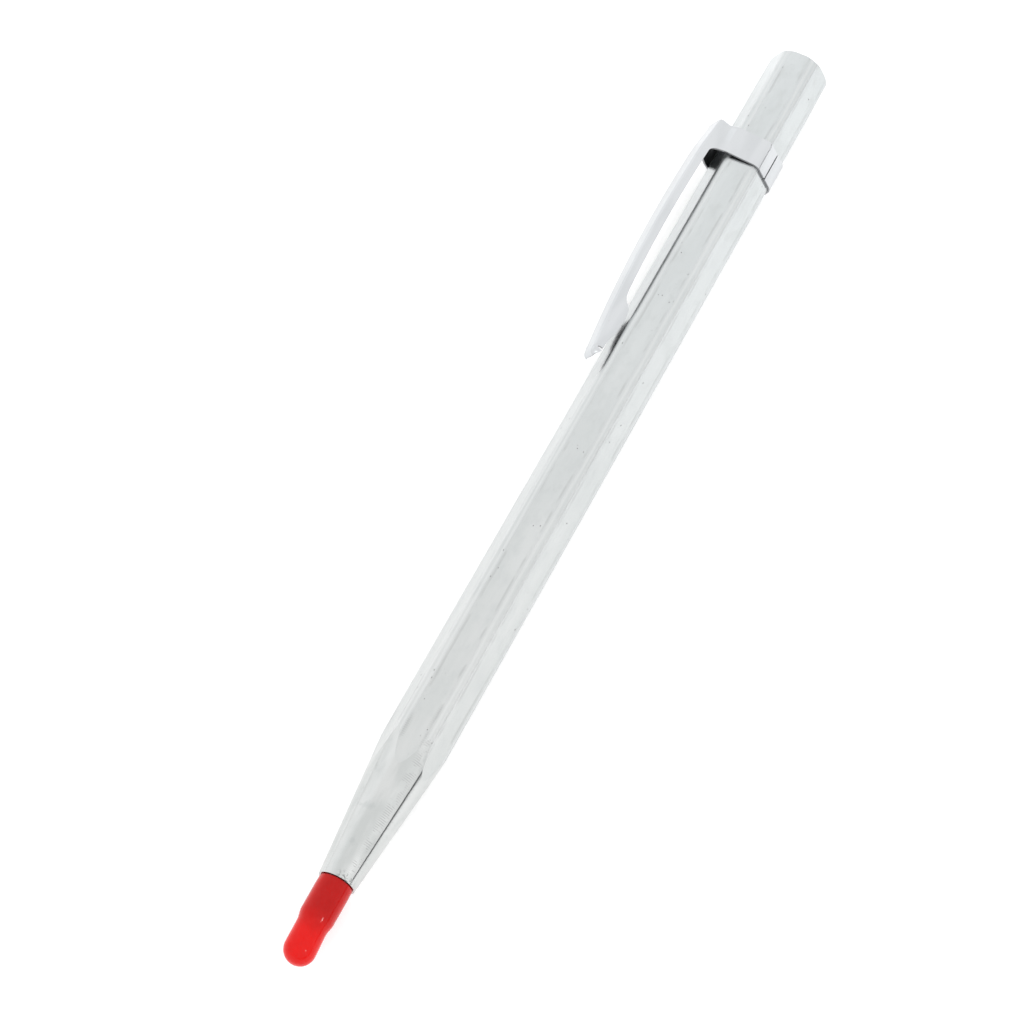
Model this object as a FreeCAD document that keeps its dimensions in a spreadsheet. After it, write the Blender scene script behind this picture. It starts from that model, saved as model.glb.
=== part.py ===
"""Pocket scriber: a hexagonal barrel with a turned nose, a pressed-in point, a spring clip and a tip guard.

Every piece is drawn along its own X axis with the nose end of the barrel at x = 0 and the tail at +X.
Its Placement then puts it in the tool's frame: +Z up, X along the tool from the point to the tail, and
the origin on the flat that the scriber rests on, under the axis, halfway along the barrel.
"""

import FreeCAD, Part
import math
import os
import Sketcher

doc = FreeCAD.newDocument("scriber")
sheet = doc.addObject("Spreadsheet::Sheet", "sizes")

SIZES = [
    # barrel: hexagonal bar with a turned nose
    ("across_flats", 8.0),
    ("barrel_length", 141.0),
    ("bar_edge_radius", 0.6),
    ("nose_diameter", 5.0),
    ("nose_half_angle", 5.25),
    ("tail_face_diameter", 8.2),
    # point holder: turned steel sleeve pressed in the nose
    ("holder_diameter", 3.5),
    ("holder_seat", 12.0),
    ("holder_reach", 6.0),
    ("holder_chamfer", 0.3),
    ("drill_point_length", 1.0),
    # carbide point in the holder
    ("point_diameter", 1.8),
    ("point_seat", 7.0),
    ("point_reach", 4.5),
    ("point_cone_length", 3.4),
    ("point_tip_radius", 0.06),
    # tip guard: soft cap pushed over the holder
    ("guard_fit", 0.05),
    ("guard_wall", 0.5),
    ("guard_mouth_gap", 0.12),
    ("guard_bulb_diameter", 4.2),
    ("guard_waist_depth", 0.06),
    ("guard_shoulder", 1.1),
    ("guard_end_gap", 0.8),
    ("guard_lip_radius", 0.15),
    # clip: band round the bar
    ("clip_thickness", 0.3),
    ("clip_facet_angle", 60.0),
    ("band_fit", 0.03),
    ("band_bend_radius", 0.3),
    ("band_width", 4.6),
    ("band_to_tail", 16.4),
    ("band_lift", 0.4),
    ("band_shoulder_depth", 1.7),
    ("seam_gap", 0.25),
    # clip: channel-shaped arm
    ("arm_length", 38.3),
    ("channel_root_width", 3.65),
    ("channel_tip_width", 2.7),
    ("channel_depth", 1.25),
    ("fold_radius", 0.6),
    ("back_radius", 235.0),
    ("back_crown_height", 3.83),
    ("back_crown_to_band", 11.6),
    ("root_length", 1.5),
    ("root_corner_radius", 1.0),
    ("flex_gap", 0.02),
    ("lobe_gap", 0.35),
    ("lobe_to_tip", 5.9),
    ("lobe_length", 3.4),
    ("lobe_step", 1.2),
    ("lobe_rise", 0.1),
    ("tip_depth", 0.8),
    ("tip_length", 1.6),
]
VALUES = dict(SIZES)
for row, (alias, value) in enumerate(SIZES, start=1):
    sheet.set(f"A{row}", alias)
    sheet.set(f"B{row}", str(value))
    sheet.setAlias(f"B{row}", alias)
doc.recompute()


class Dim:
    """A size worked out from sheet cells: the expression that FreeCAD keeps, and its value now."""

    def __init__(self, text, value):
        self.text = text
        self.value = value

    @staticmethod
    def of(other):
        return other if isinstance(other, Dim) else Dim(repr(float(other)), float(other))

    def __add__(self, other):
        other = Dim.of(other)
        return Dim(f"({self.text} + {other.text})", self.value + other.value)

    def __radd__(self, other):
        return Dim.of(other) + self

    def __sub__(self, other):
        other = Dim.of(other)
        return Dim(f"({self.text} - {other.text})", self.value - other.value)

    def __rsub__(self, other):
        return Dim.of(other) - self

    def __mul__(self, other):
        other = Dim.of(other)
        return Dim(f"({self.text} * {other.text})", self.value * other.value)

    def __rmul__(self, other):
        return Dim.of(other) * self

    def __truediv__(self, other):
        other = Dim.of(other)
        return Dim(f"({self.text} / {other.text})", self.value / other.value)

    def __neg__(self):
        return Dim(f"(0 - {self.text})", -self.value)


def size(alias):
    return Dim(f"sizes.{alias}", float(VALUES[alias]))


def root(dim):
    return Dim(f"sqrt({dim.text})", math.sqrt(dim.value))


def tangent(degrees):
    return Dim(f"tan({degrees.text} * 1 deg)", math.tan(math.radians(degrees.value)))


ROOT3 = math.sqrt(3.0)
CLEAR = 1.0  # how far a cutting outline runs past the stock
TINY = 1e-6  # less than any real difference in length or volume
ROUGH = 1e-3  # how closely the box round a circle gives its radius


# ---------------------------------------------------------------- sketches and features


def bind(target, prop, dim):
    target.setExpression(prop, dim.text)


def origin_plane(body, role):
    return next(f for f in body.Origin.OriginFeatures if f.Role == role)


def fix_point(sketch, where, name, x, y):
    """Hold one point of a sketch at x, y."""
    for kind, axis, dim in (("DistanceX", "x", x), ("DistanceY", "y", y)):
        index = sketch.addConstraint(Sketcher.Constraint(kind, -1, 1, where[0], where[1], dim.value))
        sketch.renameConstraint(index, f"{name}_{axis}")
        bind(sketch, f"Constraints.{name}_{axis}", dim)


def outline(sketch, points, arcs=None):
    """Draw a closed outline through the points. arcs maps a side's number to (radius, bulge): the side
    from that point to the next is then an arc, and bulge is +1 where it turns left, or -1."""
    points = [(Dim.of(x), Dim.of(y)) for x, y in points]
    arcs = arcs or {}
    sides = []
    for k, (x, y) in enumerate(points):
        x1, y1 = points[(k + 1) % len(points)]
        a = FreeCAD.Vector(x.value, y.value, 0)
        b = FreeCAD.Vector(x1.value, y1.value, 0)
        if k in arcs:
            radius, bulge = arcs[k]
            half = (b - a).Length / 2
            across = FreeCAD.Vector(-(b - a).y, (b - a).x, 0).normalize()
            centre = (a + b) * 0.5 + across * (bulge * math.sqrt(radius.value**2 - half**2))
            circle = Part.Circle(centre, FreeCAD.Vector(0, 0, 1), radius.value)
            first, last = (a, b) if bulge > 0 else (b, a)
            arc = Part.ArcOfCircle(circle, circle.parameter(first), circle.parameter(last))
            start, end = (1, 2) if bulge > 0 else (2, 1)
            sides.append((sketch.addGeometry(arc, False), start, end))
        else:
            sides.append((sketch.addGeometry(Part.LineSegment(a, b), False), 1, 2))
    for k, (side, start, end) in enumerate(sides):
        following, next_start, _ = sides[(k + 1) % len(sides)]
        sketch.addConstraint(Sketcher.Constraint("Coincident", side, end, following, next_start))
    for k, (x, y) in enumerate(points):
        fix_point(sketch, (sides[k][0], sides[k][1]), f"p{k}", x, y)
    for k, (radius, _) in arcs.items():
        index = sketch.addConstraint(Sketcher.Constraint("Radius", sides[k][0], radius.value))
        sketch.renameConstraint(index, f"radius{k}")
        bind(sketch, f"Constraints.radius{k}", radius)


def body_sketch(body, name, role, points, arcs=None):
    sketch = body.newObject("Sketcher::SketchObject", name)
    sketch.AttachmentSupport = [(origin_plane(body, role), "")]
    sketch.MapMode = "FlatFace"
    outline(sketch, points, arcs)
    return sketch


def free_sketch(name, rotation, points, arcs=None):
    sketch = doc.addObject("Sketcher::SketchObject", name)
    sketch.Placement = FreeCAD.Placement(FreeCAD.Vector(0, 0, 0), rotation)
    outline(sketch, points, arcs)
    return sketch


ACROSS = FreeCAD.Rotation(FreeCAD.Vector(1, 1, 1), 120)  # sketch x, y lie along Y, Z and it faces +X
ALONG = FreeCAD.Rotation(FreeCAD.Vector(1, 0, 0), 90)  # sketch x, y lie along X, Z and it faces -Y


def new_body(name):
    body = doc.addObject("PartDesign::Body", name)
    body.Label = name
    return body


def turned(body, name, points, arcs=None):
    """Turn a closed half outline round the X axis."""
    sketch = body_sketch(body, f"{name}_outline", "XY_Plane", points, arcs)
    feature = body.newObject("PartDesign::Revolution", name)
    feature.Profile = sketch
    feature.ReferenceAxis = (sketch, ["H_Axis"])
    feature.Angle = 360.0
    return feature


def turned_away(body, name, points):
    """Cut away what a half outline sweeps round the X axis, and check that it cut."""
    before = body.Shape.Volume
    sketch = body_sketch(body, f"{name}_outline", "XY_Plane", points)
    feature = body.newObject("PartDesign::Groove", name)
    feature.Profile = sketch
    feature.ReferenceAxis = (sketch, ["H_Axis"])
    feature.Angle = 360.0
    doc.recompute()
    if not body.Shape.Volume < before - TINY:
        raise RuntimeError(f"{name} removed nothing")
    return feature


def round_edges(body, name, radius, chosen):
    """Fillet the edges of the body's tip that chosen(edge) picks."""
    doc.recompute()
    base = body.Tip
    names = [f"Edge{k}" for k, edge in enumerate(base.Shape.Edges, start=1) if chosen(edge)]
    if not names:
        raise RuntimeError(f"{name} found no edge")
    fillet = body.newObject("PartDesign::Fillet", name)
    fillet.Base = (base, names)
    fillet.Radius = radius.value
    bind(fillet, "Radius", radius)
    doc.recompute()
    return fillet


def place(piece):
    """Put a piece's own X axis on the tool's axis, with the middle of the barrel at the origin."""
    bind(piece, ".Placement.Base.x", -size("barrel_length") / 2)
    bind(piece, ".Placement.Base.z", size("across_flats") / 2)


def lean_to_clip(piece):
    """Turn a clip piece about the tool's axis, from its own +Z to the facet that the clip stands over."""
    turn = size("clip_facet_angle")
    piece.Placement.Rotation = FreeCAD.Rotation(FreeCAD.Vector(-1, 0, 0), turn.value)
    piece.setExpression(".Placement.Rotation.Angle", f"{turn.text} * 1 deg")
    place(piece)


def along_x(edge):
    ends = [v.Point for v in edge.Vertexes]
    return len(ends) == 2 and abs(ends[0].y - ends[1].y) < TINY and abs(ends[0].z - ends[1].z) < TINY


# ---------------------------------------------------------------- barrel

flat = size("across_flats") / 2
corner = flat * 2 / ROOT3
length = size("barrel_length")
nose = size("nose_diameter") / 2
cone = tangent(size("nose_half_angle"))
seat = size("holder_seat")
reach = size("holder_reach")
holder = size("holder_diameter") / 2


def hexagon(apothem):
    """Corners of a hexagon with a flat side up and a flat side down, from the right-hand corner."""
    side = apothem * 2 / ROOT3
    return [
        (side, Dim.of(0)),
        (side / 2, apothem),
        (-side / 2, apothem),
        (-side, Dim.of(0)),
        (-side / 2, -apothem),
        (side / 2, -apothem),
    ]


def make_barrel():
    body = new_body("barrel")
    bar = body.newObject("PartDesign::Pad", "bar")
    bar.Profile = body_sketch(body, "bar_section", "YZ_Plane", hexagon(flat))
    bind(bar, "Length", length)
    doc.recompute()
    round_edges(body, "bar_edges", size("bar_edge_radius"), along_x)
    cone_length = (corner - nose) / cone
    outside = corner + CLEAR
    beyond = corner + CLEAR * cone
    nose_cut = [(-CLEAR, nose - CLEAR * cone), (cone_length + CLEAR, beyond), (-CLEAR, beyond)]
    turned_away(body, "nose_cone", nose_cut)
    start = size("tail_face_diameter") / 2
    behind = length + CLEAR
    tail_cut = [(behind, start - CLEAR), (behind, outside), (length + start - outside, outside)]
    turned_away(body, "tail_turning", tail_cut)
    bore = [(-CLEAR, 0), (seat + size("drill_point_length"), 0), (seat, holder), (-CLEAR, holder)]
    turned_away(body, "holder_bore", bore)
    place(body)
    return body


# ---------------------------------------------------------------- point holder and point

needle = size("point_diameter") / 2


def make_point_holder():
    body = new_body("point_holder")
    chamfer = size("holder_chamfer")
    socket = size("point_seat") - reach
    sleeve = [
        (seat, 0),
        (seat, holder - chamfer),
        (seat - chamfer, holder),
        (chamfer - reach, holder),
        (-reach, holder - chamfer),
        (-reach, needle),
        (socket, needle),
        (socket, 0),
    ]
    turned(body, "sleeve", sleeve)
    place(body)
    return body


def make_carbide_point():
    body = new_body("carbide_point")
    end = -reach - size("point_reach")
    tip = size("point_tip_radius")
    inner = size("point_seat") - reach
    cone_start = end + size("point_cone_length")
    turned(body, "needle", [(inner, 0), (inner, needle), (cone_start, needle), (end, tip), (end, 0)])
    place(body)
    return body


# ---------------------------------------------------------------- tip guard


def make_tip_guard():
    body = new_body("tip_guard")
    wall = size("guard_wall")
    bore = holder + size("guard_fit")
    mouth = -size("guard_mouth_gap")
    bulb = size("guard_bulb_diameter") / 2
    end = -reach - size("point_reach") - size("guard_end_gap") - wall
    ball = end + bulb
    shoulder = size("guard_shoulder")
    step = -reach - size("guard_lip_radius")
    cap = [
        (mouth, bore),
        (mouth, bore + wall),
        (shoulder - reach, bore + wall),
        (-reach - shoulder / 2, bulb - size("guard_waist_depth")),
        (ball, bulb),
        (end, 0),
        (end + wall, 0),
        (ball, bulb - wall),
        (step - shoulder / 2, bulb - wall),
        (step, bore),
    ]
    turned(body, "cap", cap, {4: (bulb, 1), 6: (bulb - wall, -1)})
    round_edges(body, "lip", size("guard_lip_radius"), lambda edge: at_mouth(edge, mouth, bore + wall))
    place(body)
    return body


def at_mouth(edge, x, radius):
    """True for the outer circle of the guard's mouth."""
    box = edge.BoundBox
    return box.XLength < TINY and abs(box.XMin - x.value) < TINY and abs(box.YMax - radius.value) < ROUGH


# ---------------------------------------------------------------- clip

# A clip piece is drawn with the facet that the clip stands over facing its own +Z.
sheet_metal = size("clip_thickness")
band_rear = length - size("band_to_tail")
band_front = band_rear - size("band_width")
split = band_front - size("root_length")
arm_tip = band_front - size("arm_length")
back_radius = size("back_radius")
crown_x = band_front - size("back_crown_to_band")
crown = flat + size("back_crown_height")


def back_height(x):
    """Height of the clip's back above the axis: a long shallow arch."""
    return crown - back_radius + root(back_radius * back_radius - (x - crown_x) * (x - crown_x))


flange_edge = back_height(split) - size("channel_depth")
root_half = size("channel_root_width") / 2
tip_half = size("channel_tip_width") / 2
FAR = 3 * VALUES["across_flats"]  # further out than any clip piece reaches
FOLD_SHARE = 0.8  # an edge longer than this share of the arm is one of its folds
SEAM_TURN = math.radians(120)  # from the loop to the seam, which is two facets on


def extruded(name, profile, along, **settings):
    solid = doc.addObject("Part::Extrusion", name)
    solid.Base = profile
    solid.DirMode = "Normal"
    solid.Solid = True
    for key, value in settings.items():
        setattr(solid, key, value)
    bind(solid, "LengthFwd", along)
    return solid


def lofted(name, first, last):
    solid = doc.addObject("Part::Loft", name)
    solid.Sections = [first, last]
    solid.Solid = True
    solid.Ruled = True
    return solid


def offset(name, source, amount):
    curve = doc.addObject("Part::Offset2D", name)
    curve.Source = source
    curve.Join = "Arc"
    curve.Value = amount.value
    bind(curve, "Value", amount)
    return curve


def cut(name, base, tool):
    result = doc.addObject("Part::Cut", name)
    result.Base = base
    result.Tool = tool
    doc.recompute()
    if not result.Shape.Volume < base.Shape.Volume - TINY:
        raise RuntimeError(f"{name} removed nothing")
    return result


def band_loops(end, x):
    """The band's inner and outer outlines at one place along the bar. It hugs five facets, lifts off
    beside the sixth and runs up over it as a loop as high as the clip's back is there."""
    hugging = hexagon(flat + size("band_fit"))
    foot_y = hugging[1][0] + size("band_lift") * (ROOT3 / 2)
    foot_z = hugging[1][1] + size("band_lift") / 2
    half = root_half - sheet_metal
    top = back_height(x) - sheet_metal
    shoulder = back_height(x) - size("band_shoulder_depth")
    right = [hugging[0], (foot_y, foot_z), (half, shoulder), (half, top)]
    left = [(-half, top), (-half, shoulder), (-foot_y, foot_z), hugging[3]]
    line = free_sketch(f"band_{end}_line", ACROSS, right + left + [hugging[4], hugging[5]])
    bind(line, ".Placement.Base.x", x)
    bend = size("band_bend_radius")
    inside = offset(f"band_{end}_inside", offset(f"band_{end}_shrunk", line, -bend), bend)
    return inside, offset(f"band_{end}_outside", inside, sheet_metal)


def seam_cutter():
    """A bar that parts the band along the middle of the seam's facet."""
    gap = size("seam_gap")
    bottom = flat + size("band_fit") - CLEAR
    box = doc.addObject("Part::Box", "seam")
    box.Placement.Rotation = FreeCAD.Rotation(FreeCAD.Vector(1, 0, 0), math.degrees(SEAM_TURN))
    bind(box, "Length", size("band_width") + 2 * CLEAR)
    bind(box, "Width", gap)
    bind(box, "Height", sheet_metal + 2 * CLEAR)
    bind(box, ".Placement.Base.x", band_front - CLEAR)
    bind(box, ".Placement.Base.y", -math.cos(SEAM_TURN) * gap / 2 - math.sin(SEAM_TURN) * bottom)
    bind(box, ".Placement.Base.z", math.cos(SEAM_TURN) * bottom - math.sin(SEAM_TURN) * gap / 2)
    return box


def make_clip_band():
    """A strip wrapped round the bar, its two ends meeting at a seam. Over the clip's facet it reaches
    further forward than elsewhere, as the root of the arm."""
    front_inside, front_outside = band_loops("front", split)
    rear_inside, rear_outside = band_loops("rear", band_rear)
    whole = lofted("band_whole", front_outside, rear_outside)
    core = lofted("band_core", front_inside, rear_inside)
    doc.recompute()
    corner_radius = size("root_corner_radius")
    behind = split - CLEAR
    front = free_sketch(
        "band_front_outline",
        ALONG,
        [(behind, -FAR), (band_front, -FAR), (band_front, flange_edge - corner_radius),
         (band_front - corner_radius, flange_edge), (behind, flange_edge)],
        {2: (corner_radius, 1)},
    )
    front_cutter = extruded("band_front_cutter", front, Dim.of(FAR), Symmetric=True)
    ring = cut("band_with_root", cut("band_ring", whole, core), front_cutter)
    band = cut("clip_band", ring, seam_cutter())
    lean_to_clip(band)
    return band


def channel_block(name, side, arcs, half_at_tip, half_at_root, fold):
    """A bar with the given side view, tapered in plan towards the tip, with its two long folds rounded."""
    body = new_body(name)
    pad = body.newObject("PartDesign::Pad", f"{name}_side")
    pad.Profile = body_sketch(body, f"{name}_side_outline", "XZ_Plane", side, arcs)
    pad.Midplane = True
    bind(pad, "Length", 2 * root_half + 2 * CLEAR)
    doc.recompute()
    before = pad.Shape.Volume
    wide = root_half + 2 * CLEAR
    slope = (half_at_root - half_at_tip) / (split - arm_tip)
    near = arm_tip - CLEAR
    far = split + 2 * CLEAR
    near_half = half_at_tip - slope * CLEAR
    far_half = half_at_root + slope * 2 * CLEAR
    for label, sign in (("left", 1), ("right", -1)):
        wedge = [(near, sign * near_half), (far, sign * far_half), (far, sign * wide), (near, sign * wide)]
        plan = body_sketch(body, f"{name}_{label}_outline", "XY_Plane", wedge)
        pocket = body.newObject("PartDesign::Pocket", f"{name}_{label}")
        pocket.Profile = plan
        pocket.Type = "ThroughAll"
        pocket.Midplane = True
    doc.recompute()
    if not body.Shape.Volume < before - TINY:
        raise RuntimeError(f"{name} was not tapered")
    long_edge = FOLD_SHARE * (split.value - arm_tip.value)
    round_edges(body, f"{name}_folds", fold,
                lambda edge: edge.Length > long_edge and edge.BoundBox.ZMin > flat.value)
    return body


def make_clip_arm():
    """A shallow channel, open towards the bar, with deeper lobes near a turned-down tip."""
    end = split - size("flex_gap")
    depth = size("channel_depth")
    lobe_front = arm_tip + size("lobe_to_tip")
    lobe_rear = lobe_front + size("lobe_length")
    lobe_low = flat + size("lobe_gap")
    step_x = lobe_rear + size("lobe_step")
    lip = back_height(arm_tip) - size("tip_depth")
    side = [
        (end, back_height(end)),
        (arm_tip, back_height(arm_tip)),
        (arm_tip, lip),
        (arm_tip + size("tip_length"), lip),
        (lobe_front, lobe_low),
        (lobe_rear, lobe_low + size("lobe_rise")),
        (step_x, back_height(step_x) - depth),
        (end, back_height(end) - depth),
    ]
    outer = channel_block("arm_outside", side, {0: (back_radius, 1), 6: (back_radius, -1)},
                          tip_half, root_half, size("fold_radius"))
    run_out = split + CLEAR
    wall_x = arm_tip + sheet_metal
    low = flat - CLEAR
    hollow = [
        (run_out, back_height(run_out) - sheet_metal),
        (wall_x, back_height(wall_x) - sheet_metal),
        (wall_x, low),
        (run_out, low),
    ]
    inner = channel_block("arm_inside", hollow, {0: (back_radius, 1)}, tip_half - sheet_metal,
                          root_half - sheet_metal, size("fold_radius") - sheet_metal)
    arm = cut("clip_arm", outer, inner)
    lean_to_clip(arm)
    return arm


# ---------------------------------------------------------------- build and write

PIECES = [
    make_barrel(),
    make_point_holder(),
    make_carbide_point(),
    make_tip_guard(),
    make_clip_band(),
    make_clip_arm(),
]
doc.recompute()
for item in doc.Objects:
    if "Invalid" in item.State or "Error" in item.State:
        raise RuntimeError(f"{item.Name} did not build: {item.State}")
os.makedirs("parts", exist_ok=True)
for piece in PIECES:
    shape = piece.Shape
    if shape.isNull() or not shape.isValid() or not shape.Solids:
        raise RuntimeError(f"{piece.Label} has no valid solid")
    shape.exportStep(f"parts/{piece.Label}.step")
    print(piece.Label, "volume", round(shape.Volume, 2), "solids", len(shape.Solids))
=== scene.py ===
import math

import bpy
from mathutils import Matrix, Vector


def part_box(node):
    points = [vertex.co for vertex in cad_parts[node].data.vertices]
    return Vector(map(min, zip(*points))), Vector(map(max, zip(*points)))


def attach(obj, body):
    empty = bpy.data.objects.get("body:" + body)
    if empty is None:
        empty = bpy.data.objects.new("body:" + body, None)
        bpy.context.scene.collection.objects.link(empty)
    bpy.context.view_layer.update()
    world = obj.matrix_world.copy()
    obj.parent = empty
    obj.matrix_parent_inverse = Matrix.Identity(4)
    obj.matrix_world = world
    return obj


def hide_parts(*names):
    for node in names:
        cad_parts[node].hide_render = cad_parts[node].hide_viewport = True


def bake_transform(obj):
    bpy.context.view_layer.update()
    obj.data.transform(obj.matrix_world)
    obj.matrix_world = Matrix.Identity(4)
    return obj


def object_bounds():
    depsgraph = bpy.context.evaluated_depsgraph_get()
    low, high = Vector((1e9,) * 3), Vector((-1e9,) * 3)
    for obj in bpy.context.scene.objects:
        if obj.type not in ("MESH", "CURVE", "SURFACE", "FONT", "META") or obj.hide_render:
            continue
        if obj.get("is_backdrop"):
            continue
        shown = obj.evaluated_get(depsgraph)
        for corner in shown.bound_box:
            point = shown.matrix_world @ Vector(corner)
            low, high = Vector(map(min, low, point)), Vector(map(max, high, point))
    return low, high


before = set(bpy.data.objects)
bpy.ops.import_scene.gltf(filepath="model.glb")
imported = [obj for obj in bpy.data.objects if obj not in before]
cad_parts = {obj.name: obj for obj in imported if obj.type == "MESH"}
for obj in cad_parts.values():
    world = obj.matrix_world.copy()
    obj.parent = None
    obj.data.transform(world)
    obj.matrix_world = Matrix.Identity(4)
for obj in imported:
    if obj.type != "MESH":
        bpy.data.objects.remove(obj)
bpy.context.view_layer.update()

MM = 0.001
ROOT3 = math.sqrt(3.0)


# ---------------------------------------------------------------- sizes, in millimetres

barrel_low, barrel_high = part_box("barrel")
guard_low, guard_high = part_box("tip_guard")
band_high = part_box("clip_band")[1]
arm_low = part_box("clip_arm")[0]
AXIS_Z = (barrel_low.z + barrel_high.z) / 2
LENGTH = (barrel_high.x - barrel_low.x) / MM
FLAT = (barrel_high.z - barrel_low.z) / 2 / MM  # from the axis to a flat of the bar
BAR_EDGE = 1.2
NOSE_RADIUS = 2.5
NOSE_SLOPE = math.tan(math.radians(5.25))
NOSE_BORE = 1.75
TAIL_FACE_RADIUS = 4.1
NOSE_RIM = 0.07
FINE = 0.03

GUARD_END = (guard_low.x - barrel_low.x) / MM
GUARD_MOUTH = (guard_high.x - barrel_low.x) / MM + 0.07
GUARD_RADIUS = (guard_high.z - guard_low.z) / 2 / MM
GUARD_WALL = 0.5
BULB_RADIUS = 2.1
GUARD_BEND = 0.2
HOLDER_END = (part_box("point_holder")[0].x - barrel_low.x) / MM

SHEET = 0.3
BAND_FIT = 0.03
BAND_REAR = (band_high.x - barrel_low.x) / MM
BAND_WIDTH = 4.6
BAND_FRONT = BAND_REAR - BAND_WIDTH
ARM_TIP = (arm_low.x - barrel_low.x) / MM
CLIP_LEAN = math.radians(60)  # the clip stands over the facet this far round from the top
BACK_RADIUS = 235.0
CROWN_X = BAND_FRONT - 11.6
CROWN = FLAT + 3.83
CHANNEL_DEPTH = 1.25
ROOT_HALF = 1.825
TIP_HALF = 1.36
FOLD = 0.6
ROOT_CORNER = 1.0
BAND_SHOULDER = 1.7
BAND_LIFT = 0.4
BAND_BEND = 1.5
SEAM_GAP = 0.18


def frame_point(x, y, z):
    """From millimetres about the bar's axis, x from the nose, to the frame."""
    return Vector((barrel_low.x + x * MM, y * MM, AXIS_Z + z * MM))


def leaned(x, across, rise):
    """A clip point: rise along the normal of the clip's facet, across towards the facet on top."""
    y = math.sin(CLIP_LEAN) * rise - math.cos(CLIP_LEAN) * across
    z = math.cos(CLIP_LEAN) * rise + math.sin(CLIP_LEAN) * across
    return frame_point(x, y, z)


def smooth(value, start=0.0, end=1.0):
    t = min(max((value - start) / (end - start), 0.0), 1.0)
    return t * t * (3 - 2 * t)


def along(stops, x):
    """Smooth curve through (place, value) stops."""
    for (x0, v0), (x1, v1) in zip(stops, stops[1:]):
        if x <= x1:
            return v0 + (v1 - v0) * smooth(x, x0, x1)
    return stops[-1][1]


# ---------------------------------------------------------------- mesh making


class Shell:
    """Rows of points and the faces between them."""

    def __init__(self):
        self.points = []
        self.faces = []
        self.finishes = []
        self.crisp = set()

    def row(self, points, crisp=False, closed=True):
        first = len(self.points)
        self.points.extend(points)
        row = list(range(first, len(self.points)))
        if crisp:
            following = row[1:] + row[:1] if closed else row[1:]
            self.crisp.update(frozenset(pair) for pair in zip(row, following))
        return row

    def bridge(self, first, second, finish=0, closed=True):
        count = len(first) if closed else len(first) - 1
        for k in range(count):
            n = (k + 1) % len(first)
            self.faces.append((first[k], second[k], second[n], first[n]))
            self.finishes.append(finish)

    def cap(self, row, centre, finish=0):
        middle = self.row([centre])[0]
        for k in range(len(row)):
            self.faces.append((row[k], middle, row[(k + 1) % len(row)]))
            self.finishes.append(finish)

    def piece(self, name, materials):
        mesh = bpy.data.meshes.new(name)
        mesh.from_pydata(self.points, [], self.faces)
        for material in materials:
            mesh.materials.append(material)
        for polygon, finish in zip(mesh.polygons, self.finishes):
            polygon.material_index = finish
            polygon.use_smooth = True
        for edge in mesh.edges:
            if frozenset(edge.vertices) in self.crisp:
                edge.use_edge_sharp = True
        piece = bpy.data.objects.new(name, mesh)
        bpy.context.scene.collection.objects.link(piece)
        return piece


def even_normals(piece):
    """Let large flat faces keep their flat shading beside small rounded ones."""
    modifier = piece.modifiers.new("even_normals", "WEIGHTED_NORMAL")
    modifier.keep_sharp = True
    modifier.weight = 100


def settle(piece):
    """Turn the piece's modifiers into its mesh."""
    bpy.context.view_layer.update()
    graph = bpy.context.evaluated_depsgraph_get()
    posed = piece.evaluated_get(graph)
    mesh = bpy.data.meshes.new_from_object(posed, preserve_all_data_layers=True, depsgraph=graph)
    piece.modifiers.clear()
    piece.data = mesh


# ---------------------------------------------------------------- materials


class Wire:
    """An output socket of a shader node. Arithmetic on it adds Math nodes."""

    def __init__(self, finish, socket):
        self.finish = finish
        self.socket = socket

    def __add__(self, other):
        return self.finish.maths("ADD", self, other)

    def __sub__(self, other):
        return self.finish.maths("SUBTRACT", self, other)

    def __rsub__(self, other):
        return self.finish.maths("SUBTRACT", other, self)

    def __mul__(self, other):
        return self.finish.maths("MULTIPLY", self, other)

    def __truediv__(self, other):
        return self.finish.maths("DIVIDE", self, other)

    def __lt__(self, other):
        return self.finish.maths("LESS_THAN", self, other)

    def __gt__(self, other):
        return self.finish.maths("GREATER_THAN", self, other)

    __radd__ = __add__
    __rmul__ = __mul__


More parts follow.
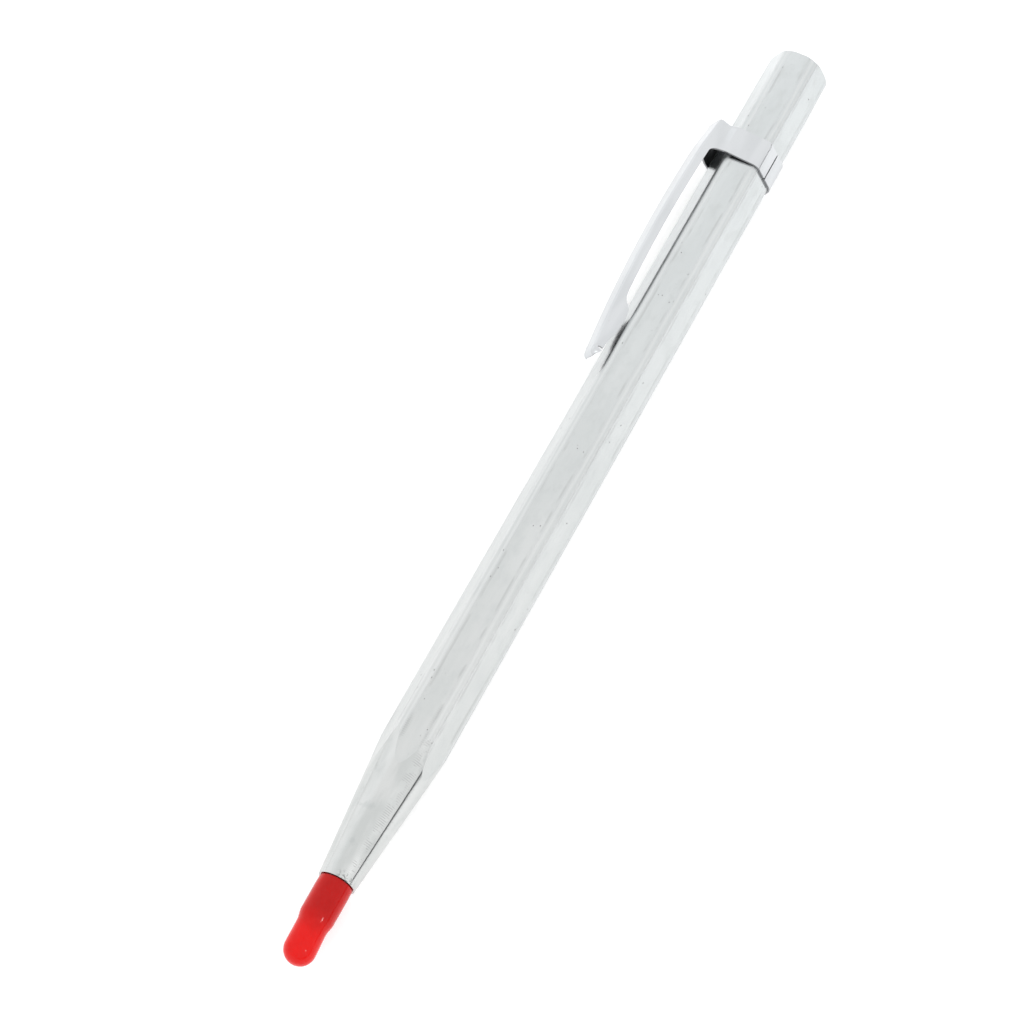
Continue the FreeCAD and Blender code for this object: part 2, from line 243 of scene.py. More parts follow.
class Finish:
    """A material with one Principled shader."""

    def __init__(self, name, **constants):
        self.material = bpy.data.materials.new(name)
        self.material.use_nodes = True
        self.tree = self.material.node_tree
        self.shader = self.tree.nodes["Principled BSDF"]
        for socket, value in constants.items():
            self.shader.inputs[socket.replace("_", " ")].default_value = value

    def node(self, kind, settings=None, inputs=None, out=0):
        node = self.tree.nodes.new(kind)
        for key, value in (settings or {}).items():
            setattr(node, key, value)
        for key, value in (inputs or {}).items():
            self.feed(node.inputs[key], value)
        return Wire(self, node.outputs[out])

    def feed(self, socket, value):
        if isinstance(value, Wire):
            self.tree.links.new(value.socket, socket)
        else:
            socket.default_value = value

    def maths(self, operation, *values, clamp=False):
        settings = {"operation": operation, "use_clamp": clamp}
        return self.node("ShaderNodeMath", settings, dict(enumerate(values)))

    def place(self):
        """The surface's own coordinates in millimetres: x along the tool, y and z across it."""
        here = self.node("ShaderNodeTexCoord", out="Object")
        scaled = self.node("ShaderNodeVectorMath", {"operation": "SCALE"}, {0: here, "Scale": 1 / MM})
        axis = (0, 0, AXIS_Z / MM)
        moved = self.node("ShaderNodeVectorMath", {"operation": "SUBTRACT"}, {0: scaled, 1: axis})
        return moved

    def split(self, vector):
        return [self.node("ShaderNodeSeparateXYZ", None, {0: vector}, out=k) for k in range(3)]

    def stretched(self, vector, scale):
        return self.node("ShaderNodeVectorMath", {"operation": "MULTIPLY"}, {0: vector, 1: scale})

    def noise(self, vector, scale=1.0, detail=2.0, roughness=0.5):
        inputs = {"Vector": vector, "Scale": scale, "Detail": detail, "Roughness": roughness}
        return self.node("ShaderNodeTexNoise", None, inputs)

    def cells(self, vector, scale, feature="F1"):
        return self.node("ShaderNodeTexVoronoi", {"feature": feature}, {"Vector": vector, "Scale": scale})

    def fade(self, value, start, end, low_value=0.0, high_value=1.0):
        """From low_value at start to high_value at end, smoothly."""
        settings = {"interpolation_type": "SMOOTHSTEP"}
        inputs = {"Value": value, "From Min": start, "From Max": end}
        inputs |= {"To Min": low_value, "To Max": high_value}
        return self.node("ShaderNodeMapRange", settings, inputs)

    def mix(self, factor, first, second):
        settings = {"data_type": "RGBA"}
        return self.node("ShaderNodeMix", settings, {0: factor, 6: first, 7: second}, out=2)

    def bump(self, height, depth, normal=None):
        inputs = {"Height": height, "Distance": depth, "Strength": 1.0}
        if normal is not None:
            inputs["Normal"] = normal
        return self.node("ShaderNodeBump", None, inputs)

    def set(self, **links):
        for socket, value in links.items():
            self.feed(self.shader.inputs[socket.replace("_", " ")], value)


def facet_place(f, y, z):
    """Distance along a facet from its middle: the bar's long corners are at plus and minus 2.3."""
    turn = f.maths("ARCTAN2", y, z) / math.radians(60) + 12.5
    local = (f.maths("FRACT", turn) - 0.5) * math.radians(60)
    return f.maths("TANGENT", local) * FLAT


def stripe(f, value, centre, half, soft):
    """1 within half of centre, fading to 0 over soft."""
    away = f.maths("ABSOLUTE", value - centre)
    return f.fade(away, half, half + soft, 1.0, 0.0)


def plated_bar():
    """Bright plating over drawn bar: faint draw lines, soft ripples, painted dark reflection lines beside the
    long corners, a painted highlight along the rounded corners, small pits and grey specks."""
    f = Finish("plated_bar", Metallic=1.0)
    here = f.place()
    x, y, z = f.split(here)
    place = facet_place(f, y, z)
    draw = f.noise(f.stretched(here, (0.10, 7.0, 7.0)), 1.0, 3.0, 0.6)
    ripple = f.noise(f.stretched(here, (0.10, 0.28, 0.28)), 1.0, 1.0)
    cloud = f.noise(f.stretched(here, (0.05, 0.32, 0.32)), 1.0, 3.0)
    blotch = f.noise(f.stretched(here, (0.35, 0.6, 0.6)), 1.0, 4.0, 0.6)
    sway = f.noise(f.stretched(here, (0.09, 0.3, 0.3)), 1.0, 2.0)
    edge = f.maths("ABSOLUTE", place) + (sway - 0.5) * 0.5
    broken = f.fade(f.noise(f.stretched(here, (0.22, 0.4, 0.4)), 1.0, 3.0), 0.42, 0.6)
    corner = f.fade(f.maths("ABSOLUTE", place), 1.5, 1.8)
    # painted dark reflection: darker broken lines on the flat just inside each long corner
    corner_dark_reflection = stripe(f, edge, 1.35, 0.05, 0.16) * broken
    # painted highlight: a lighter stripe along the rounded part of each long corner
    bright = stripe(f, edge, 1.9, 0.08, 0.2)
    chatter = f.maths("SINE", x * 21.0 + sway * 6.0) > 0.35
    near_nose = 1.0 - f.fade(x + LENGTH / 2, 24.0, 36.0)
    hatch = chatter * stripe(f, edge, 1.3, 0.2, 0.25) * near_nose * broken
    pit = (f.cells(f.stretched(here, (1.0, 1.6, 1.0)), 0.9) < 0.10) * (f.noise(here, 0.35, 1.0) > 0.60)
    speck = (f.cells(f.stretched(here, (0.8, 1.3, 1.3)), 2.6) < 0.10) * (f.noise(here, 0.55, 2.0) > 0.60)
    forward = f.mix(f.fade(cloud, 0.35, 0.7), (0.525, 0.540, 0.535, 1), (0.565, 0.575, 0.570, 1))
    rear = f.mix(f.fade(cloud, 0.35, 0.7), (0.545, 0.570, 0.575, 1), (0.580, 0.605, 0.610, 1))
    tone = f.mix(f.fade(x, -0.5 * LENGTH, 0.5 * LENGTH), forward, rear)
    tone = f.mix(f.fade(blotch, 0.45, 0.75) * 0.5, tone, (0.49, 0.51, 0.51, 1))
    # darken the colour with the painted corner reflection lines
    tone = f.mix(corner_dark_reflection * 0.45, tone, (0.40, 0.41, 0.41, 1))
    # lighten the colour with the painted corner highlight
    tone = f.mix(bright * 0.5, tone, (0.64, 0.65, 0.65, 1))
    tone = f.mix(hatch * 0.45, tone, (0.34, 0.35, 0.35, 1))
    tone = f.mix(speck * 0.5, tone, (0.36, 0.37, 0.38, 1))
    f.set(Base_Color=f.mix(pit * 0.8, tone, (0.16, 0.16, 0.16, 1)),
          Roughness=f.fade(draw, 0.3, 0.8, 0.18, 0.28) + pit * 0.3 + corner * 0.2,
          Normal=f.bump(ripple, 0.06 * MM, f.bump(draw, 0.0015 * MM, f.bump(edge * broken, 0.004 * MM))))
    return f.material


def turned_nose():
    """The same plating over a turned cone: fine rings left by the tool, and one long line of painted dark
    reflection over a shallow groove.
    """
    f = Finish("turned_nose", Metallic=1.0)
    here = f.place()
    x, y, z = f.split(here)
    x = x + LENGTH / 2
    turn = f.maths("ARCTAN2", y, z)
    wander = f.noise(here, 1.4, 2.0)
    ring = f.maths("SINE", x * 24.0 + wander * 2.5)
    coarse = f.noise(f.stretched(here, (6.0, 0.25, 0.25)), 1.0, 2.0)
    cloud = f.noise(f.stretched(here, (0.15, 0.5, 0.5)), 1.0, 3.0)
    chatter = (f.maths("SINE", x * 21.0 + wander * 1.5) > 0.3) * (f.noise(here, 0.9, 2.0) > 0.48)
    hatch = chatter * stripe(f, turn, math.radians(-32), 0.05, 0.22)
    drift = turn + math.radians(49) + (wander - 0.5) * 0.02
    # painted dark reflection: a near-black line along the cone; its bump below also cuts a shallow groove
    score_and_dark_reflection = stripe(f, drift, 0.0, 0.018, 0.012) * f.fade(x, 0.5, 0.9) * (1.0 - f.fade(x, 17.6, 18.4))
    at_rim = 1.0 - f.fade(x, 0.2, 1.3)
    chipped = (f.noise(here, 3.0, 2.0) > 0.56) * at_rim * stripe(f, turn, -0.55, 0.3, 0.4)
    stain = f.fade(f.noise(f.stretched(here, (0.4, 0.5, 0.5)), 1.0, 3.0), 0.58, 0.72)
    tone = f.mix(f.fade(cloud, 0.35, 0.7), (0.49, 0.505, 0.50, 1), (0.565, 0.575, 0.57, 1))
    tone = f.mix(stain * 0.4, tone, (0.40, 0.42, 0.42, 1))
    tone = f.mix(hatch * 0.45, tone, (0.34, 0.34, 0.34, 1))
    tone = f.mix(chipped * 0.7, tone, (0.20, 0.21, 0.20, 1))
    # the long line gets its painted dark reflection colour here
    f.set(Base_Color=f.mix(score_and_dark_reflection * 0.9, tone, (0.05, 0.05, 0.055, 1)),
          Roughness=f.fade(coarse, 0.3, 0.75, 0.14, 0.24),
          Normal=f.bump(ring, 0.0012 * MM, f.bump(coarse, 0.004 * MM, f.bump(1.0 - score_and_dark_reflection, 0.008 * MM))))
    return f.material


def plated_sheet():
    """Bright plating over pressed sheet: slight orange peel and soft scuffs."""
    f = Finish("plated_sheet", Metallic=1.0)
    here = f.place()
    peel = f.noise(here, 1.6, 2.0)
    ripple = f.noise(f.stretched(here, (0.12, 0.5, 0.5)), 1.0, 1.0)
    scuff = f.noise(f.stretched(here, (0.5, 4.0, 4.0)), 1.0, 4.0)
    fleck = (f.cells(here, 1.1) < 0.06) * (f.noise(here, 0.5, 1.0) > 0.6)
    tone = f.mix(f.fade(ripple, 0.35, 0.65), (0.545, 0.560, 0.575, 1), (0.585, 0.600, 0.615, 1))
    f.set(Base_Color=f.mix(fleck * 0.6, tone, (0.33, 0.34, 0.35, 1)),
          Roughness=f.fade(scuff, 0.4, 0.8, 0.14, 0.28),
          Normal=f.bump(peel, 0.003 * MM, f.bump(ripple, 0.04 * MM)))
    return f.material


def inner_sheet_painted_shade():
    """The inside of the pressed sheet: a dull, rougher finish, with its colour painted dark as shade."""
    f = Finish("inner_sheet_painted_shade", Metallic=1.0)
    here = f.place()
    grain = f.noise(f.stretched(here, (0.6, 3.0, 3.0)), 1.0, 4.0)
    # painted shade: the inner faces get a much darker colour than the outside
    f.set(Base_Color=f.mix(grain, (0.14, 0.14, 0.15, 1), (0.24, 0.24, 0.25, 1)),
          Roughness=f.fade(grain, 0.3, 0.8, 0.3, 0.5), Normal=f.bump(grain, 0.006 * MM))
    return f.material


def sheared_edge():
    """The cut edge of the sheet: dark, with the fine drag lines of the punch."""
    f = Finish("sheared_edge", Metallic=1.0)
    here = f.place()
    drag = f.noise(f.stretched(here, (5.0, 5.0, 5.0)), 1.0, 3.0)
    f.set(Base_Color=f.mix(drag, (0.28, 0.28, 0.29, 1), (0.42, 0.42, 0.43, 1)),
          Roughness=f.fade(drag, 0.3, 0.8, 0.3, 0.5), Normal=f.bump(drag, 0.01 * MM))
    return f.material


def turned_steel():
    f = Finish("turned_steel", Metallic=1.0)
    here = f.place()
    x = f.split(here)[0]
    ring = f.maths("SINE", x * 40.0)
    grain = f.noise(f.stretched(here, (8.0, 1.0, 1.0)), 1.0, 3.0)
    f.set(Base_Color=f.mix(grain, (0.40, 0.40, 0.41, 1), (0.55, 0.55, 0.56, 1)),
          Roughness=f.fade(grain, 0.3, 0.8, 0.22, 0.4),
          Normal=f.bump(ring, 0.002 * MM, f.bump(grain, 0.004 * MM)))
    return f.material


def ground_carbide():
    f = Finish("ground_carbide", Metallic=1.0)
    here = f.place()
    grain = f.noise(f.stretched(here, (0.6, 14.0, 14.0)), 1.0, 4.0)
    f.set(Base_Color=f.mix(grain, (0.16, 0.16, 0.17, 1), (0.27, 0.27, 0.28, 1)),
          Roughness=f.fade(grain, 0.3, 0.8, 0.28, 0.5),
          Normal=f.bump(grain, 0.003 * MM))
    return f.material


def dipped_vinyl():
    """Soft red vinyl, darker over the steel holder, where painted shade darkens its top and bottom and leaves
    its sides lighter.
    """
    f = Finish("dipped_vinyl", Metallic=0.0, IOR=1.5, Coat_Roughness=0.08)
    f.shader.inputs["Specular IOR Level"].default_value = 0.16
    here = f.place()
    x, y, z = f.split(here)
    x = x + LENGTH / 2
    cloud = f.noise(here, 0.9, 3.0)
    skin = f.noise(here, 2.2, 2.0)
    backed = f.fade(x + (f.noise(here, 0.8, 1.0) - 0.5) * 1.2, HOLDER_END - 3.0, HOLDER_END + 2.2)
    # painted shade: over the holder, darker towards the top and bottom and lighter at the sides
    top_bottom_painted_shade = f.fade(f.maths("ABSOLUTE", z + y * -0.2) / GUARD_RADIUS + (cloud - 0.5) * 0.2, 0.45, 0.95)
    bright = f.mix(cloud, (0.57, 0.004, 0.003, 1), (0.68, 0.008, 0.006, 1))
    # colours for the painted shade: the lighter one for the sides, the darker one for the top and bottom
    edge = f.mix(cloud, (0.44, 0.006, 0.005, 1), (0.53, 0.010, 0.008, 1))
    dark = f.mix(cloud, (0.35, 0.003, 0.002, 1), (0.43, 0.005, 0.004, 1))
    f.set(Base_Color=f.mix(backed, bright, f.mix(top_bottom_painted_shade, edge, dark)),
          Roughness=f.fade(cloud, 0.3, 0.8, 0.07, 0.14),
          Coat_Weight=f.fade(skin, 0.3, 0.8, 0.0, 0.08), Normal=f.bump(skin, 0.01 * MM))
    return f.material


def studio_white():
    f = Finish("studio_white", Metallic=0.0)
    here = f.place()
    mottle = f.noise(here, 0.02, 2.0)
    f.shader.inputs["Emission Strength"].default_value = 0.25
    f.set(Base_Color=f.mix(mottle, (0.87, 0.87, 0.87, 1), (0.89, 0.89, 0.89, 1)), Roughness=0.9,
          Emission_Color=(1.0, 1.0, 1.0, 1))
    return f.material


def studio_dark():
    f = Finish("studio_dark", Metallic=0.0)
    here = f.place()
    mottle = f.noise(here, 0.01, 2.0)
    f.set(Base_Color=f.mix(mottle, (0.02, 0.02, 0.02, 1), (0.04, 0.04, 0.04, 1)), Roughness=0.9)
    return f.material


# ---------------------------------------------------------------- studio

WORLD_LIGHT = 1.25
RAIL_REACH = 2.0
RAIL_HEIGHT = 0.2
AIM = Vector((-13.41 * MM, 4.18 * MM, AXIS_Z))
DISTANCE = 425.45 * MM
AZIMUTH = math.radians(-66.971)
ELEVATION = math.radians(60.198)
ROLL = math.radians(3.867)


def make_camera():
    data = bpy.data.cameras.new("camera")
    data.sensor_width = 36.0
    data.lens = 113.88
    data.clip_start = 0.01
    data.clip_end = 20.0
    camera = bpy.data.objects.new("camera", data)
    bpy.context.scene.collection.objects.link(camera)
    back = Vector((math.sin(AZIMUTH) * math.cos(ELEVATION), -math.cos(AZIMUTH) * math.cos(ELEVATION),
                   math.sin(ELEVATION)))
    level = (-back).cross(Vector((0, 0, 1))).normalized()
    upright = level.cross(-back)
    right = math.cos(ROLL) * level + math.sin(ROLL) * upright
    up = math.cos(ROLL) * upright - math.sin(ROLL) * level
    turned = Matrix((right, up, back)).transposed().to_4x4()
    camera.matrix_world = Matrix.Translation(AIM + back * DISTANCE) @ turned
    bpy.context.scene.camera = camera


def make_floor():
    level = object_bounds()[0][2]
    bpy.ops.mesh.primitive_plane_add(size=6.0, location=(0, 0, level))
    floor = bpy.context.object
    floor.name = "studio_floor"
    floor.data.materials.append(studio_white())
    floor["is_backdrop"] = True


def make_rail():
    """A low dark rail along one side of the table, which polished pieces show as a fine line."""
    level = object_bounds()[0][2]
    rail = Shell()
    turns = [math.radians(180 + 180 * k / 48) for k in range(49)]
    spots = [Vector((math.cos(a), math.sin(a), 0)) * RAIL_REACH for a in turns]
    low = rail.row([spot + Vector((0, 0, level)) for spot in spots], closed=False)
    high = rail.row([spot + Vector((0, 0, level + RAIL_HEIGHT)) for spot in spots], closed=False)
    rail.bridge(low, high, closed=False)
    rail.piece("studio_rail", [studio_dark()])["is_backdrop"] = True


def area_light(name, place, size, power, colour=(1, 1, 1)):
    data = bpy.data.lights.new(name, "AREA")
    data.shape = "DISK"
    data.size = size
    data.energy = power
    data.color = colour
    lamp = bpy.data.objects.new(name, data)
    bpy.context.scene.collection.objects.link(lamp)
    lamp.location = place
    lamp.rotation_euler = (-Vector(place)).to_track_quat("-Z", "Y").to_euler()


def make_light():
    world = bpy.data.worlds.new("studio")
    world.use_nodes = True
    world.node_tree.nodes["Background"].inputs["Color"].default_value = (1, 1, 1, 1)
    world.node_tree.nodes["Background"].inputs["Strength"].default_value = WORLD_LIGHT
    bpy.context.scene.world = world
    area_light("key", (-0.5, -1.0, 1.3), 1.6, 0.8)
    area_light("fill", (0.5, 1.2, 0.8), 1.4, 0.5, (0.90, 0.96, 1.0))
    area_light("spark", (-0.12, -0.60, 0.533), 0.05, 0.5)
    bpy.context.scene.view_settings.view_transform = "Standard"


# ---------------------------------------------------------------- barrel

CORNER_STEPS = 10
FLAT_STEPS = 12
CONE_ROWS = 16
BAR_ROWS = 40


def bar_section():
    """Points round a hexagon with a flat on top and rounded corners, as (y, z)."""
    inset = (FLAT - BAR_EDGE) * 2 / ROOT3
    corners = []
    for k in range(6):
        middle = math.radians(30 + 60 * k)
        turns = [middle + math.radians(60) * (j / CORNER_STEPS - 0.5) for j in range(CORNER_STEPS + 1)]
        corners.append([Vector((inset * math.sin(middle) + BAR_EDGE * math.sin(a),
                                inset * math.cos(middle) + BAR_EDGE * math.cos(a))) for a in turns])
    section = []
    for corner, following in zip(corners, corners[1:] + corners[:1]):
        section += corner
        section += [corner[-1].lerp(following[0], j / FLAT_STEPS) for j in range(1, FLAT_STEPS)]
    return section


def make_barrel():
    """Hexagonal bar with a cone turned on its nose, which leaves a curved edge on each flat."""
    section = bar_section()
    shell = Shell()

    def ring(place, crisp=False):
        """place gives x and the distance from the axis, for a column that the bar puts at a radius."""
        points = []
        for spot in section:
            x, radius = place(spot.length)
            points.append(frame_point(x, *(spot.normalized() * radius)))
        return shell.row(points, crisp)

    def cone_end(radius):
        return (radius - NOSE_RADIUS) / NOSE_SLOPE

    def on_cone(share):
        def place(radius):
            x = NOSE_RIM + (cone_end(radius) - NOSE_RIM) * share
            return x, NOSE_RADIUS + NOSE_SLOPE * x
        return place

    def tail_start(radius):
        return LENGTH - max(radius - TAIL_FACE_RADIUS, FINE)

    def on_bar(share):
        return lambda radius: (cone_end(radius) + (tail_start(radius) - cone_end(radius)) * share, radius)

    def on_tail(radius):
        return LENGTH, min(radius, TAIL_FACE_RADIUS) - FINE / 2

    bore_rows = [ring(lambda radius: (1.5, NOSE_BORE)), ring(lambda radius: (FINE, NOSE_BORE), True),
                 ring(lambda radius: (0.0, NOSE_BORE + FINE), True),
                 ring(lambda radius: (0.0, NOSE_RADIUS - NOSE_RIM), True)]
    cone_rows = [ring(on_cone(k / CONE_ROWS), k in (0, CONE_ROWS)) for k in range(CONE_ROWS + 1)]
    bar_rows = cone_rows[-1:] + [ring(on_bar(k / BAR_ROWS), k == BAR_ROWS) for k in range(1, BAR_ROWS + 1)]
    tail_row = ring(on_tail, True)
    for rows, finish in ((bore_rows + cone_rows, 1), (bar_rows, 0), (bar_rows[-1:] + [tail_row], 1)):
        for first, second in zip(rows, rows[1:]):
            shell.bridge(first, second, finish)
    shell.cap(tail_row, frame_point(LENGTH, 0, 0), 1)
    barrel = shell.piece("barrel_bar", [plated_bar(), turned_nose()])
    even_normals(barrel)
    settle(barrel)
    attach(barrel, "barrel")
    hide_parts("barrel")


# ---------------------------------------------------------------- tip guard

GUARD_COLUMNS = 72


def guard_profile():
    """The guard's outside from its closed end to its mouth, then its inside back again, as (x, radius)."""
    ball = GUARD_END + BULB_RADIUS
    stops = [(ball, BULB_RADIUS), (HOLDER_END - 0.55, BULB_RADIUS - 0.06),
             (HOLDER_END + 1.1, GUARD_RADIUS - 0.01),
             (GUARD_MOUTH - 1.2, GUARD_RADIUS), (GUARD_MOUTH - 0.15, GUARD_RADIUS - 0.03)]
    steps = 14
    dome = [(ball - BULB_RADIUS * math.cos(math.radians(90) * k / steps),
             BULB_RADIUS * math.sin(math.radians(90) * k / steps)) for k in range(1, steps)]
    count = 46
    span = stops[-1][0] - ball
    side = [(ball + span * k / count, along(stops, ball + span * k / count)) for k in range(count + 1)]
    lip = 0.14
    middle = (GUARD_MOUTH - lip, side[-1][1] - lip)
    turns = [math.radians(90) * (1 - k / 5) for k in range(1, 6)]
    mouth = [(middle[0] + lip * math.cos(a), middle[1] + lip * math.sin(a)) for a in turns]
    bore = GUARD_RADIUS - GUARD_WALL
    inside = [(GUARD_MOUTH, bore + 0.08), (GUARD_MOUTH - 0.08, bore), (HOLDER_END - 0.2, bore),
              (HOLDER_END - 0.9, BULB_RADIUS - GUARD_WALL), (ball, BULB_RADIUS - GUARD_WALL)]
    return dome + side + mouth, inside


def make_guard():
    """A dipped cap, a little bent beyond the end of the holder that fills its first part."""
    outside, inside = guard_profile()
    shell = Shell()

    def ring(x, radius):
        bend = -GUARD_BEND * smooth(-x, 4.5, -GUARD_END)
        turns = [math.radians(360) * k / GUARD_COLUMNS for k in range(GUARD_COLUMNS)]
        return shell.row([frame_point(x, radius * math.sin(a) + bend, radius * math.cos(a)) for a in turns])

    rows = [ring(x, radius) for x, radius in outside + inside]
    for first, second in zip(rows, rows[1:]):
        shell.bridge(first, second)
    shell.cap(list(reversed(rows[0])), frame_point(GUARD_END, -GUARD_BEND, 0))
    shell.cap(rows[-1], frame_point(GUARD_END + GUARD_WALL, -GUARD_BEND, 0))
    guard = shell.piece("tip_guard_cap", [dipped_vinyl()])
    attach(guard, "guard")
    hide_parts("tip_guard")


# ---------------------------------------------------------------- clip


def back_height(x):
    """Height of the clip's back above the bar's axis: a long shallow arch that drops away at the band."""
    drop = 0.2 * smooth(x, BAND_FRONT - 1, BAND_REAR)
    return CROWN - BACK_RADIUS + math.sqrt(BACK_RADIUS**2 - (x - CROWN_X) ** 2) - drop


def half_width(x):
    share = min(max((x - ARM_TIP) / (BAND_FRONT - 1.5 - ARM_TIP), 0.0), 1.0)
    return TIP_HALF + (ROOT_HALF - TIP_HALF) * share


class Path:
    """A line with its corners rounded, read by the distance along it."""

    def __init__(self, corners, radii):
        points = [Vector(corners[0])]
        for before, corner, after, radius in zip(corners, corners[1:], corners[2:], radii):
            corner = Vector(corner)
            back = (Vector(before) - corner).normalized()
            ahead = (Vector(after) - corner).normalized()
            half = back.angle(ahead) / 2
            start = corner + back * (radius / math.tan(half))
            centre = corner + (back + ahead).normalized() * (radius / math.sin(half))
            spoke = start - centre
            sweep = math.pi - 2 * half
            sense = 1 if back.cross(ahead) < 0 else -1
            steps = 10
            for k in range(steps + 1):
                spin = Matrix.Rotation(sense * sweep * k / steps, 2)
                points.append(centre + spin @ spoke)
        points.append(Vector(corners[-1]))
        self.points = points
        self.marks = [0.0]
        for a, b in zip(points, points[1:]):
            self.marks.append(self.marks[-1] + (b - a).length)
        self.length = self.marks[-1]

    def at(self, distance):
        distance = min(max(distance, 0.0), self.length)
        for k in range(1, len(self.marks)):
            if distance <= self.marks[k]:
                share = (distance - self.marks[k - 1]) / max(self.marks[k] - self.marks[k - 1], 1e-9)
                return self.points[k - 1].lerp(self.points[k], share)
        return self.points[-1]


def band_path(x, side):
    """The band's outside from the middle of the clip's back to the seam, as (across, rise). side is 1 for
    the short way round, over the facet on top, and -1 for the long way."""
    apothem = FLAT + BAND_FIT + SHEET
    reach = apothem * 2 / ROOT3
    top = back_height(x)
    half = half_width(x)

    def corner(angle, lift=0.0):
        place = Vector((reach * math.sin(math.radians(angle)), reach * math.cos(math.radians(angle))))
        return place + Vector((math.sin(math.radians(60)), math.cos(math.radians(60)))) * lift

    seam = Vector((math.sin(math.radians(120)), math.cos(math.radians(120)))) * apothem
    tangent = Vector((math.cos(math.radians(120)), -math.sin(math.radians(120)))) * (SEAM_GAP / 2)
    start = [(0, top), (half, top), (half, top - BAND_SHOULDER), corner(30, BAND_LIFT), corner(90)]
    bends = [FOLD, 0.8, 0.8] + [BAND_BEND] * 5
    if side > 0:
        return Path(start + [seam - tangent], bends)
    mirrored = Matrix(((-1, 0), (0, 1)))
    ends = [mirrored @ Vector(p) for p in start]
    return Path(ends + [corner(-150), corner(150), seam + tangent], bends)


ROOT_X = BAND_FRONT - ROOT_CORNER
BACK_STEPS = 6
FOLD_STEPS = 7
FLANGE_STEPS = 9
FLANGE_EDGE = [
    (83.45, 5.10), (84.1, 5.08), (85.1, 4.95), (86.1, 4.68), (87.0, 4.54), (88.4, 4.48), (89.7, 4.50),
    (90.5, 4.66), (91.0, 5.02), (91.6, 5.66), (92.2, 5.97), (93.4, 6.10),
]
NOTCH = [
    (83.02, 5.12), (83.06, 5.70), (83.12, 5.86), (83.2, 5.92), (83.29, 5.86), (83.36, 5.70), (83.41, 5.12),
]
CURL_RADIUS = 0.95
CURL_TURN = math.radians(72)
CURL_START = ARM_TIP + 0.93
CURL_ROWS = 9


def flange_edge(x):
    """Height of the flange's lower edge: lobes near the tip, and an even depth behind them."""
    if x < FLANGE_EDGE[-1][0]:
        return along(FLANGE_EDGE, x)
    return back_height(x) - CHANNEL_DEPTH


def channel_row(top, low, half):
    """Points across the arm from one flange's lower edge over the back to the other's. top and low are
    (x, height) of the back and of the lower edges."""
    depth = top[1] - low[1]
    fold = min(FOLD, 0.7 * depth, 0.7 * half)
    near = [(k / BACK_STEPS * (half - fold), top[1]) for k in range(BACK_STEPS)]
    turns = [math.radians(90) * k / FOLD_STEPS for k in range(FOLD_STEPS)]
    near += [(half - fold + fold * math.sin(a), top[1] - fold + fold * math.cos(a)) for a in turns]
    near += [(half, top[1] - fold - (depth - fold) * k / FLANGE_STEPS) for k in range(FLANGE_STEPS + 1)]
    spots = [(-across, rise) for across, rise in reversed(near[1:])] + near
    lean = (low[0] - top[0]) / depth
    return [leaned(top[0] + lean * (top[1] - rise), across, rise) for across, rise in spots]


def root_steps(x):
    """Distances down the section from the middle of the back, one for each column of a side."""
    half = half_width(x)
    straight = half - FOLD
    arc = FOLD * math.radians(90)
    ahead = min(max((x - ROOT_X) / ROOT_CORNER, 0.0), 1.0)
    edge = straight + arc + CHANNEL_DEPTH - FOLD + ROOT_CORNER * (1 - math.sqrt(max(1 - ahead**2, 0.0)))
    steps = [straight * k / BACK_STEPS for k in range(BACK_STEPS)]
    steps += [straight + arc * k / FOLD_STEPS for k in range(FOLD_STEPS)]
    folded = straight + arc
    return steps + [folded + (edge - folded) * k / FLANGE_STEPS for k in range(FLANGE_STEPS + 1)]


def section_row(x, near_steps, far_steps):
    near, far = band_path(x, 1), band_path(x, -1)
    spots = [far.at(step) for step in reversed(far_steps[1:])] + [near.at(step) for step in near_steps]
    return [leaned(x, spot.x, spot.y) for spot in spots]


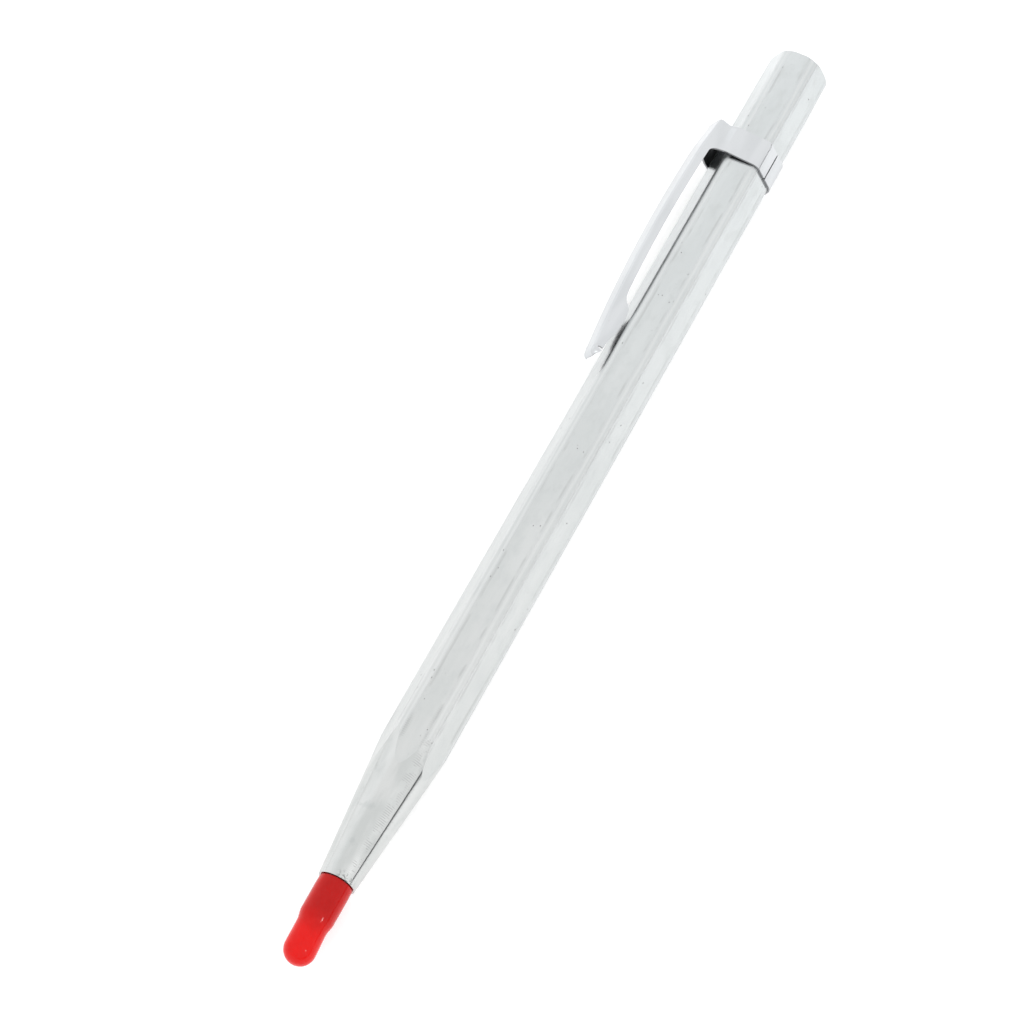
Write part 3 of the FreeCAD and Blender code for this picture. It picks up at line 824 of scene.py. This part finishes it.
def make_clip():
    """One stamping: a strip wrapped round the bar, whose loop runs on as a channel with a turned-down tip."""
    shell = Shell()
    rows = []
    for k in range(CURL_ROWS):
        turn = CURL_TURN * (1 - k / CURL_ROWS)
        share = k / CURL_ROWS
        top = (CURL_START - CURL_RADIUS * math.sin(turn),
               back_height(CURL_START) - CURL_RADIUS * (1 - math.cos(turn)))
        low = (ARM_TIP + 0.02 + (NOTCH[0][0] - ARM_TIP - 0.04) * share,
               top[1] - 0.1 + (NOTCH[0][1] - top[1] + 0.1) * smooth(share) ** 0.6)
        rows.append(shell.row(channel_row(top, low, TIP_HALF - 0.55 * (1 - share) ** 2.5)))
    for x, height in NOTCH:
        rows.append(shell.row(channel_row((x, back_height(x)), (x, height), half_width(x))))
    x = FLANGE_EDGE[0][0]
    while x < ROOT_X - 0.1:
        rows.append(shell.row(channel_row((x, back_height(x)), (x, flange_edge(x)), half_width(x))))
        x += 0.22 if x < FLANGE_EDGE[-1][0] else 0.8
    root_rows = 10
    for k in range(root_rows + 1):
        x = ROOT_X + ROOT_CORNER * math.sin(math.radians(90) * k / root_rows)
        steps = root_steps(x)
        rows.append(shell.row(section_row(x, steps, steps)))
    for first, second in zip(rows, rows[1:]):
        shell.bridge(second, first, closed=False)

    front = rows[-1]
    side = root_steps(BAND_FRONT)
    spacing = 0.16
    band_rows = 10
    counts = [round((band_path(BAND_FRONT, sense).length - side[-1]) / spacing) for sense in (1, -1)]
    band = []
    for k in range(band_rows + 1):
        x = BAND_FRONT + (BAND_REAR - BAND_FRONT) * k / band_rows
        near_more, far_more = ([side[-1] + (band_path(x, sense).length - side[-1]) * j / count
                                for j in range(1, count + 1)] for sense, count in zip((1, -1), counts))
        points = section_row(x, side + near_more, side + far_more)
        if k == 0:
            ahead = shell.row(points[:counts[1]])
            behind = shell.row(points[len(points) - counts[0]:])
            band.append(ahead + front + behind)
        else:
            band.append(shell.row(points))
    for first, second in zip(band, band[1:]):
        shell.bridge(second, first, closed=False)

    clip = shell.piece("clip_stamping", [plated_sheet(), inner_sheet_painted_shade(), sheared_edge()])
    sheet = clip.modifiers.new("sheet", "SOLIDIFY")
    sheet.thickness = SHEET * MM
    sheet.offset = -1.0
    # the inner faces take the finish that is painted dark as shade
    sheet.material_offset = 1
    sheet.material_offset_rim = 2
    sheet.use_quality_normals = True
    edges = clip.modifiers.new("edges", "BEVEL")
    edges.width = 0.07 * MM
    edges.segments = 2
    edges.limit_method = "ANGLE"
    edges.angle_limit = math.radians(60)
    settle(clip)
    clip.data.set_sharp_from_angle(angle=math.radians(50))
    bend_start = frame_point(BAND_FRONT - 1.0, 0, 0)
    bend_end = frame_point(BAND_FRONT - 4.0, 0, 0)
    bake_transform(clip)
    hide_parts("clip_band", "clip_arm")


# ---------------------------------------------------------------- point


def finish_node(name, material):
    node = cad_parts[name]
    node.data.materials.clear()
    node.data.materials.append(material)


make_camera()
make_floor()
make_rail()
make_light()
make_barrel()
make_guard()
make_clip()
finish_node("point_holder", turned_steel())
finish_node("carbide_point", ground_carbide())
